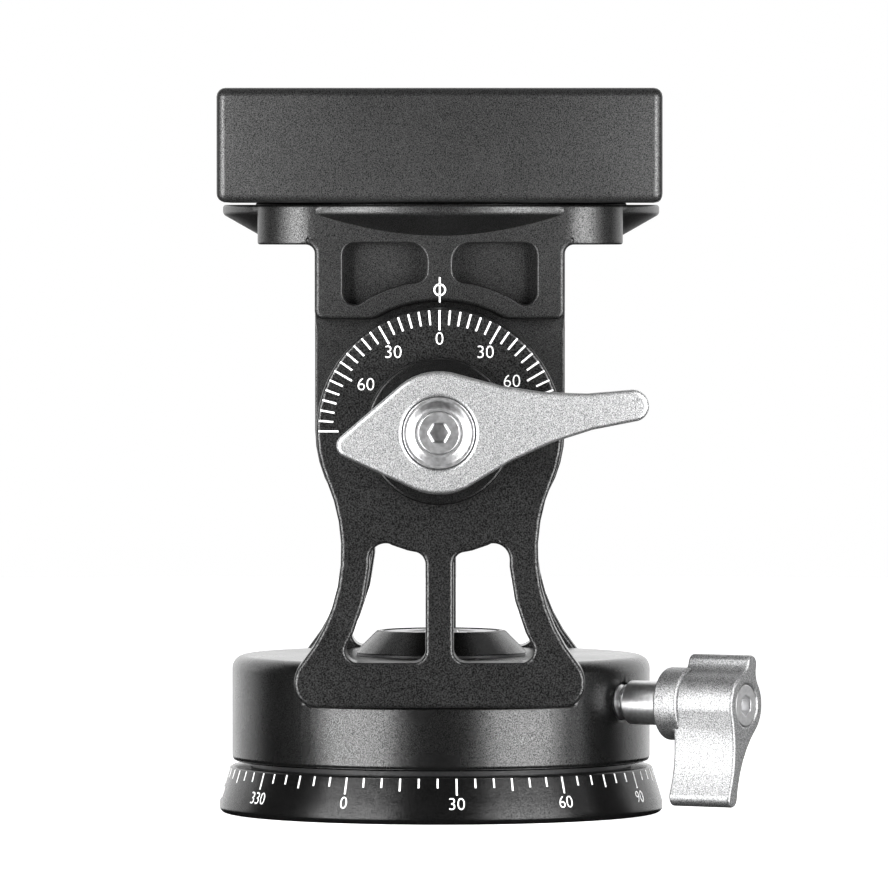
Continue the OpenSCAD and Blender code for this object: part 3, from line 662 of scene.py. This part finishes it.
@dataclass
class ScaleBase:
    """Fixed base: the ring with its degree scale, the spindle, the cap and the tripod thread."""

    top_r: float = 29.0 * MM
    rim_z: float = 1.5 * MM
    tick_step: int = 5
    mid_step: int = 15
    long_step: int = 30
    short_tick: float = 1.3 * MM
    mid_tick: float = 1.75 * MM
    long_tick: float = 2.3 * MM
    tick_w: float = 0.24 * MM
    tick_top: float = 0.25 * MM
    number_h: float = 1.64 * MM
    number_z: float = 2.83 * MM
    zero_at: float = math.radians(-25.5)
    paint: float = 0.03 * MM
    thread_r: float = 3.97 * MM
    thread_root: float = 4.76 * MM
    thread_pitch: float = 25.4 / 16 * MM
    thread_sink: float = 0.1 * MM
    bush_edge: float = 0.3 * MM
    bush_facets: int = 64
    ring_edge: float = 0.3 * MM
    cap_edge: float = 0.25 * MM
    steel_edge: float = 0.2 * MM
    screw_edge: float = 0.12 * MM

    def __post_init__(self) -> None:
        """Reads the ring's rim and the slope of its scale face."""
        self.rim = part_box("base_ring")[1]
        self.slope = Vector((self.rim.x - self.top_r, 0, self.rim_z - self.rim.z)).normalized()

    def on_cone(self, turn: float, down: float) -> Matrix:
        """A place on the sloped scale face.

        Args:
            turn: Angle from the front towards +X, in radians.
            down: Distance below the face's top edge, along the slope, in metres.

        Returns:
            A frame whose X runs along the scale, Y inwards and Z up the slope.
        """
        at = Vector((0, -self.top_r - self.slope.x * down, self.rim.z + self.slope.z * down))
        lean = math.atan2(self.slope.x, -self.slope.z)
        local = Matrix.Translation(at) @ Matrix.Rotation(-lean, 4, "X")
        return Matrix.Rotation(turn, 4, "Z") @ local

    def ticks(self, finish: bpy.types.Material) -> None:
        """Paints the scale's ticks.

        Args:
            finish: The paint.
        """
        shape = bmesh.new()
        for degree in range(0, 360, self.tick_step):
            length = self.short_tick
            if degree % self.mid_step == 0:
                length = self.mid_tick
            if degree % self.long_step == 0:
                length = self.long_tick
            place = self.on_cone(self.zero_at + math.radians(degree), self.tick_top + length / 2)
            add_bar(shape, Vector((self.tick_w, 2 * self.paint, length)), place)
        new_piece("pan_scale_ticks", shape, "base", finish)

    def numbers(self, finish: bpy.types.Material) -> None:
        """Paints the scale's numbers, bent round the cone.

        Args:
            finish: The paint.
        """
        down = (self.number_z - self.rim.z) / self.slope.z
        shape = bmesh.new()
        for degree in range(0, 360, self.long_step):
            fresh = add_number(shape, str(degree), self.number_h, 2 * self.paint)
            middle = self.zero_at + math.radians(degree)
            for v in fresh:
                turn = middle + v.co.x / self.rim.x
                v.co = self.on_cone(turn, down - v.co.z) @ Vector((0, v.co.y, 0))
        new_piece("pan_scale_numbers", shape, "base", finish)

    def tripod_bush(self, finish: bpy.types.Material) -> None:
        """Models the tripod bush with its thread.

        Args:
            finish: The steel.
        """
        low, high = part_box("tripod_bush")
        edge = self.bush_edge
        shape = bmesh.new()
        add_ring(
            shape,
            [
                (self.thread_root, low.z), (high.x - edge, low.z), (high.x, low.z + edge),
                (high.x, high.z), (self.thread_root, high.z),
            ],
            self.bush_facets,
        )
        add_thread(
            shape, self.thread_root + self.thread_sink, self.thread_r, self.thread_pitch,
            low.z + self.thread_pitch / 2, high.z - self.thread_pitch / 2,
        )
        piece = new_piece("tripod_bush_threaded", shape, "base", finish)
        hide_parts("tripod_bush")

    def build(self, finishes: Finishes) -> None:
        """Builds the new pieces and dresses the parts.

        Args:
            finishes: The head's materials.
        """
        self.ticks(finishes.white)
        self.numbers(finishes.white)
        self.tripod_bush(finishes.pan_steel)
        dress("base_ring", finishes.scale, EdgeFinish(self.ring_edge))
        dress("pan_cap", finishes.black, EdgeFinish(self.cap_edge))
        dress("pan_cap_screw", finishes.pan_steel, EdgeFinish(self.steel_edge))
        dress("pan_spindle", finishes.pan_steel, EdgeFinish(self.steel_edge))
        dress("spindle_screws", finishes.pan_steel, EdgeFinish(self.screw_edge, segments=2))
        dress("lower_glide_ring", finishes.polymer)
        dress("upper_glide_ring", finishes.polymer)


@dataclass
class Fork:
    """Turntable with its two uprights, the axle and the tilt dial."""

    upright_edge: float = 0.55 * MM
    table_edge: float = 0.35 * MM
    ring_edge: float = 0.4 * MM
    axle_edge: float = 0.3 * MM
    tick_step: int = 5
    long_step: int = 30
    tick_r: float = 16.3 * MM
    short_tick: float = 1.95 * MM
    long_tick: float = 2.7 * MM
    tick_w: float = 0.25 * MM
    number_h: float = 1.66 * MM
    number_at: dict[int, tuple[float, float]] = field(
        default_factory=lambda: {
            -60: (-9.9 * MM, 6.35 * MM), -30: (-6.2 * MM, 10.7 * MM), 0: (0, 12.5 * MM),
            30: (6.2 * MM, 10.7 * MM), 60: (9.75 * MM, 6.8 * MM),
        }
    )
    reach: int = 90
    paint: float = 0.03 * MM

    def dial(self, finish: bpy.types.Material) -> None:
        """Paints the ticks and numbers of the tilt dial.

        Args:
            finish: The paint.
        """
        axle, _ = joint("tilt")
        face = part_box("front_upright")[0].y
        centre = Matrix.Translation((axle.x, face, axle.z))
        ticks = bmesh.new()
        numbers = bmesh.new()
        for degree in range(-self.reach, self.reach + 1, self.tick_step):
            is_long = degree % self.long_step == 0
            length = self.long_tick if is_long else self.short_tick
            turn = Matrix.Rotation(math.radians(degree), 4, "Y")
            out = Matrix.Translation((0, 0, self.tick_r - length / 2))
            add_bar(ticks, Vector((self.tick_w, 2 * self.paint, length)), centre @ turn @ out)
            if degree in self.number_at:
                fresh = add_number(numbers, str(abs(degree)), self.number_h, 2 * self.paint)
                across, up = self.number_at[degree]
                at = Matrix.Translation((across, 0, up))
                bmesh.ops.transform(numbers, matrix=centre @ at, verts=fresh)
        new_piece("tilt_dial_ticks", ticks, "pan", finish)
        new_piece("tilt_dial_numbers", numbers, "pan", finish)

    def build(self, finishes: Finishes) -> None:
        """Builds the dial and dresses the parts.

        Args:
            finishes: The head's materials.
        """
        self.dial(finishes.white)
        dress("turntable", finishes.black, EdgeFinish(self.table_edge))
        for upright in ("front_upright", "rear_upright"):
            rounded_copy(upright, "pan", finishes.blasted, self.upright_edge)
        for ring in ("front_seat_ring", "rear_seat_ring"):
            dress(ring, finishes.black, EdgeFinish(self.ring_edge))
        for disc in ("front_friction_disc", "rear_friction_disc"):
            dress(disc, finishes.polymer)
        dress("tilt_axle", finishes.tilt_steel, EdgeFinish(self.axle_edge))
        dress("upright_screws", finishes.pan_steel)


@dataclass
class TiltBracket:
    """Tilting bracket with its index mark and bushes."""

    line_low: float = 17.3 * MM
    line_high: float = 20.7 * MM
    line_w: float = 0.24 * MM
    ring_at: float = 19.0 * MM
    ring_r: float = 0.85 * MM
    pad_face: float = 24.9 * MM
    pocket_half: float = 13.6 * MM
    pocket_r: float = 19.0 * MM
    pocket_low: float = 68.3 * MM
    pad_low: float = 68.0 * MM
    cheek_top: float = 66.2 * MM
    ear_low: float = 78.4 * MM
    rim_r: float = 28.4 * MM
    on_plane: float = 0.01 * MM
    edge: float = 0.65 * MM
    rim_share: float = 0.6
    ear_share: float = 0.4
    plain_share: float = 0.5
    bush_edge: float = 0.15 * MM
    ring_facets: int = 48
    paint: float = 0.03 * MM

    def edge_share(self, middle: Vector) -> float:
        """Share of the widest rounding at an edge: full round the pads, less elsewhere.

        Args:
            middle: The middle of the edge.

        Returns:
            The share, from 0 to 1.
        """
        on_face = abs(abs(middle.y) - self.pad_face) < self.on_plane
        axle, _ = joint("tilt")
        beyond = math.dist(middle.xz, axle.xz) > self.pocket_r and middle.z > self.pocket_low
        in_pocket = abs(middle.x) < self.pocket_half and beyond
        if middle.z > self.ear_low:
            return self.rim_share if middle.xy.length > self.rim_r else self.ear_share
        if self.cheek_top < middle.z < self.pad_low and not on_face:
            return 0.0
        return 1.0 if on_face and not in_pocket else self.plain_share

    def index(self, finish: bpy.types.Material) -> None:
        """Paints the index line and its ring on the middle rib.

        Args:
            finish: The paint.
        """
        axle, _ = joint("tilt")
        face = -self.pad_face
        shape = bmesh.new()
        add_ring(
            shape,
            [
                (self.ring_r - self.line_w, -self.paint), (self.ring_r, -self.paint),
                (self.ring_r, self.paint), (self.ring_r - self.line_w, self.paint),
            ],
            self.ring_facets,
        )
        place = Matrix.Translation((axle.x, face, axle.z + self.ring_at))
        bmesh.ops.transform(shape, matrix=place @ STANDING, verts=shape.verts)
        middle = Matrix.Translation((axle.x, face, axle.z + (self.line_low + self.line_high) / 2))
        length = self.line_high - self.line_low
        add_bar(shape, Vector((self.line_w, 2 * self.paint, length)), middle)
        new_piece("tilt_index", shape, "tilt", finish)

    def build(self, finishes: Finishes) -> None:
        """Builds the index and dresses the parts.

        Args:
            finishes: The head's materials.
        """
        self.index(finishes.white)
        rounded_copy(
            "tilt_bracket", "tilt", finishes.bracket, self.edge,
            stop=self.cheek_top, share=self.edge_share,
        )
        for bush in ("front_bush", "rear_bush"):
            dress(bush, finishes.bronze, EdgeFinish(self.bush_edge, segments=2))


@dataclass
class PlateClamp:
    """Clamp on top with its moving jaw and knob."""

    edge: float = 1.2 * MM
    rim: float = 28.0 * MM
    low: float = 84.2 * MM
    high: float = 99.1 * MM
    fine_share: float = 0.25
    knob_edge: float = 0.25 * MM
    steel_edge: float = 0.15 * MM
    bolt_edge: float = 0.2 * MM

    def edge_share(self, middle: Vector) -> float:
        """How much of the full rounding an edge takes.

        Args:
            middle: The middle of the edge, in metres.

        Returns:
            1 round the outside at the top and the bottom, less on the groove and the holes.
        """
        outside = max(abs(middle.x), abs(middle.y)) > self.rim
        level = middle.z < self.low or middle.z > self.high
        return 1.0 if outside and level else self.fine_share

    def build(self, finishes: Finishes) -> None:
        """Rounds the jaws and dresses the other parts.

        Args:
            finishes: The head's materials.
        """
        for node, body in (("clamp_body", "tilt"), ("clamp_jaw", "clamp_jaw")):
            rounded_copy(node, body, finishes.satin, self.edge, share=self.edge_share)
        dress("clamp_knob", finishes.black, EdgeFinish(self.knob_edge))
        dress("clamp_spindle", finishes.clamp_steel, EdgeFinish(self.steel_edge))
        dress("clamp_washer", finishes.clamp_steel, EdgeFinish(self.steel_edge))
        dress("clamp_bolt", finishes.pan_steel, EdgeFinish(self.bolt_edge))
        dress("clamp_dowels", finishes.pan_steel)
        dress("clamp_guide_pins", finishes.clamp_steel)


@dataclass
class LockLevers:
    """The two tilt lock levers with their inserts and screws."""

    edge: float = 0.65 * MM
    insert_edge: float = 0.12 * MM
    screw_edge: float = 0.15 * MM

    def build(self, finishes: Finishes) -> None:
        """Rounds the levers and dresses the other parts.

        Args:
            finishes: The head's materials.
        """
        for side in ("front", "rear"):
            lever = f"{side}_lever"
            rounded_copy(lever, lever, finishes.silver, self.edge)
            for part, edge in (("insert", self.insert_edge), ("screw", self.screw_edge)):
                dress(f"{lever}_{part}", finishes.tilt_steel, EdgeFinish(edge, segments=2))


@dataclass
class PanKnob:
    """Winged pan lock knob on its threaded stem."""

    edge: float = 0.4 * MM
    core_r: float = 1.95 * MM
    thread_r: float = 2.4 * MM
    collar_r: float = 3.0 * MM
    collar_in: float = 29.75 * MM
    collar_out: float = 35.95 * MM
    stem_in: float = 14.1 * MM
    stem_out: float = 43.15 * MM
    pitch: float = 0.8 * MM
    thread_sink: float = 0.1 * MM
    collar_edge: float = 0.5 * MM
    pip_r: float = 0.2 * MM
    screw_edge: float = 0.15 * MM
    facets: int = 64

    def stem(self, finish: bpy.types.Material) -> None:
        """Models the stem with its collar and thread.

        Args:
            finish: The steel.
        """
        point, axis = joint("pan_knob_turn")
        shape = bmesh.new()
        profile = [
            (self.pip_r, self.stem_in),
            (self.core_r, self.stem_in),
            (self.core_r, self.collar_in),
            (self.collar_r - self.collar_edge, self.collar_in),
            (self.collar_r, self.collar_in + self.collar_edge),
            (self.collar_r, self.collar_out),
            (self.thread_r, self.collar_out),
            (self.thread_r, self.stem_out),
            (self.pip_r, self.stem_out),
        ]
        add_ring(shape, profile, self.facets)
        add_thread(
            shape, self.core_r - self.thread_sink, self.thread_r, self.pitch,
            self.stem_in + self.pitch, self.collar_in - self.pitch / 4,
        )
        lay = axis.to_track_quat("Z", "X").to_matrix().to_4x4()
        height = Matrix.Translation((0, 0, point.z))
        bmesh.ops.transform(shape, matrix=height @ lay, verts=shape.verts)
        piece = new_piece("pan_knob_threaded_stem", shape, "pan_knob", finish)
        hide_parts("pan_knob_stem")

    def build(self, finishes: Finishes) -> None:
        """Builds the stem and dresses the parts.

        Args:
            finishes: The head's materials.
        """
        self.stem(finishes.knob_steel)
        # The knob takes the darker copy of the lever's silver, which carries painted shade.
        rounded_copy("pan_knob", "pan_knob", finishes.knob_silver, self.edge)
        dress("pan_knob_screw", finishes.knob_steel, EdgeFinish(self.screw_edge, segments=2))
        dress("pan_brake_pad", finishes.bronze)


@dataclass(frozen=True)
class Softbox:
    """One soft studio light aimed at the head."""

    name: str
    place: Vector
    aim: Vector
    size: tuple[float, float]
    power: float
    shine_only: bool = False

    def build(self) -> None:
        """Hangs the light."""
        light = bpy.data.lights.new(self.name, "AREA")
        light.shape = "RECTANGLE"
        light.size, light.size_y = self.size
        light.energy = self.power
        holder = bpy.data.objects.new(self.name, light)
        holder.location = self.place
        holder.rotation_euler = (self.aim - self.place).to_track_quat("-Z", "Y").to_euler()
        holder.visible_camera = False
        holder.visible_diffuse = not self.shine_only
        bpy.context.scene.collection.objects.link(holder)


@dataclass
class Studio:
    """Pale floor, soft light and the camera."""

    floor_r: float = 0.85
    floor_grain: float = 2 * MM
    floor_facets: int = 96
    floor_low: float = 0.86
    floor_high: float = 0.9
    floor_low_at: float = 0.35
    floor_high_at: float = 0.65
    floor_rough: float = 0.7
    glow: float = 0.97
    room: float = 0.01
    softbox_at: Vector = Vector((0.139, -0.144, 0.025))
    softbox_size: tuple[float, float] = (0.14, 0.15)
    softbox_power: tuple[float, float] = (0.64, 0.61)
    kicker_at: Vector = Vector((0.06, -0.083, 0.094))
    kicker_size: tuple[float, float] = (0.03, 0.03)
    kicker_power: tuple[float, float] = (0.065, 0.06)
    lens: float = 383.0
    sensor: float = 36.0
    eye: Vector = Vector((9.4 * MM, -1300 * MM, 81.4 * MM))
    target: Vector = Vector((0.4 * MM, 0, 50.6 * MM))

    def floor(self) -> None:
        """Lays the white floor, which glows a little like a lit table."""
        sheet = NodeSheet("pale_floor")
        grains = sheet.noise(sheet.coordinates(Vector(), turn=0), self.floor_grain, detail=3)
        low, high = grey(self.floor_low), grey(self.floor_high)
        sheet.tint(grains, [(self.floor_low_at, low), (self.floor_high_at, high)])
        sheet.surface(Roughness=self.floor_rough)
        sheet.surface(Emission_Color=(1, 1, 1, 1), Emission_Strength=self.glow)
        shape = bmesh.new()
        bmesh.ops.create_circle(
            shape, cap_ends=True, radius=self.floor_r, segments=self.floor_facets
        )
        mesh = bpy.data.meshes.new("floor")
        shape.to_mesh(mesh)
        shape.free()
        mesh.materials.append(sheet.material)
        ground = bpy.data.objects.new("floor", mesh)
        ground.visible_glossy = False
        ground.visible_shadow = False
        bpy.context.scene.collection.objects.link(ground)

    def world(self) -> None:
        """Makes the room dim, with a white backdrop behind the head."""
        room = bpy.data.worlds.new("room")
        room.use_nodes = True
        tree = room.node_tree
        dim = tree.nodes["Background"]
        dim.inputs["Color"].default_value = (1, 1, 1, 1)
        dim.inputs["Strength"].default_value = self.room
        white = tree.nodes.new("ShaderNodeBackground")
        white.inputs["Color"].default_value = (1, 1, 1, 1)
        seen = tree.nodes.new("ShaderNodeLightPath")
        either = tree.nodes.new("ShaderNodeMixShader")
        tree.links.new(seen.outputs["Is Camera Ray"], either.inputs["Fac"])
        tree.links.new(dim.outputs["Background"], either.inputs[1])
        tree.links.new(white.outputs["Background"], either.inputs[2])
        tree.links.new(either.outputs["Shader"], tree.nodes["World Output"].inputs["Surface"])
        bpy.context.scene.world = room

    def lights(self) -> None:
        """Hangs softboxes in front, small ones by the clamp and wide panels behind and above."""
        boxes = []
        for kind, at, size, powers in (
            ("softbox", self.softbox_at, self.softbox_size, self.softbox_power),
            ("kicker", self.kicker_at, self.kicker_size, self.kicker_power),
        ):
            for side, turn, power in zip(("left", "right"), (-1, 1), powers):
                place = Vector((turn * at.x, at.y, at.z))
                boxes.append(Softbox(f"{side}_{kind}", place, Vector((0, 0, at.z)), size, power))
        boxes += [
            Softbox(
                "back_panel", place=Vector((0, 0.9, 0.5)), aim=Vector((0, 0, 0.5)),
                size=(3.4, 1.2), power=22, shine_only=True,
            ),
            Softbox(
                "top_panel", place=Vector((0, 0.1, 1.3)), aim=Vector((0, 0, 0.05)),
                size=(1.8, 1.8), power=6, shine_only=True,
            ),
        ]
        for box in boxes:
            box.build()

    def camera(self) -> None:
        """Sets the camera where the photograph was taken from."""
        data = bpy.data.cameras.new("camera")
        data.lens = self.lens
        data.sensor_width = self.sensor
        holder = bpy.data.objects.new("camera", data)
        holder.location = self.eye
        holder.rotation_euler = (self.target - self.eye).to_track_quat("-Z", "Y").to_euler()
        bpy.context.scene.collection.objects.link(holder)
        bpy.context.scene.camera = holder

    def build(self) -> None:
        """Sets up floor, light and camera."""
        self.floor()
        self.world()
        self.lights()
        self.camera()
        bpy.context.scene.view_settings.view_transform = "Standard"


def main() -> None:
    """Builds the head's looks in order."""
    logging.basicConfig(level=logging.INFO, format="%(name)s: %(message)s")
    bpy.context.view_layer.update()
    finishes = Finishes()
    for group in (ScaleBase(), Fork(), TiltBracket(), PlateClamp(), LockLevers(), PanKnob()):
        group.build(finishes)
    Studio().build()


if __name__ == "__main__":
    main()
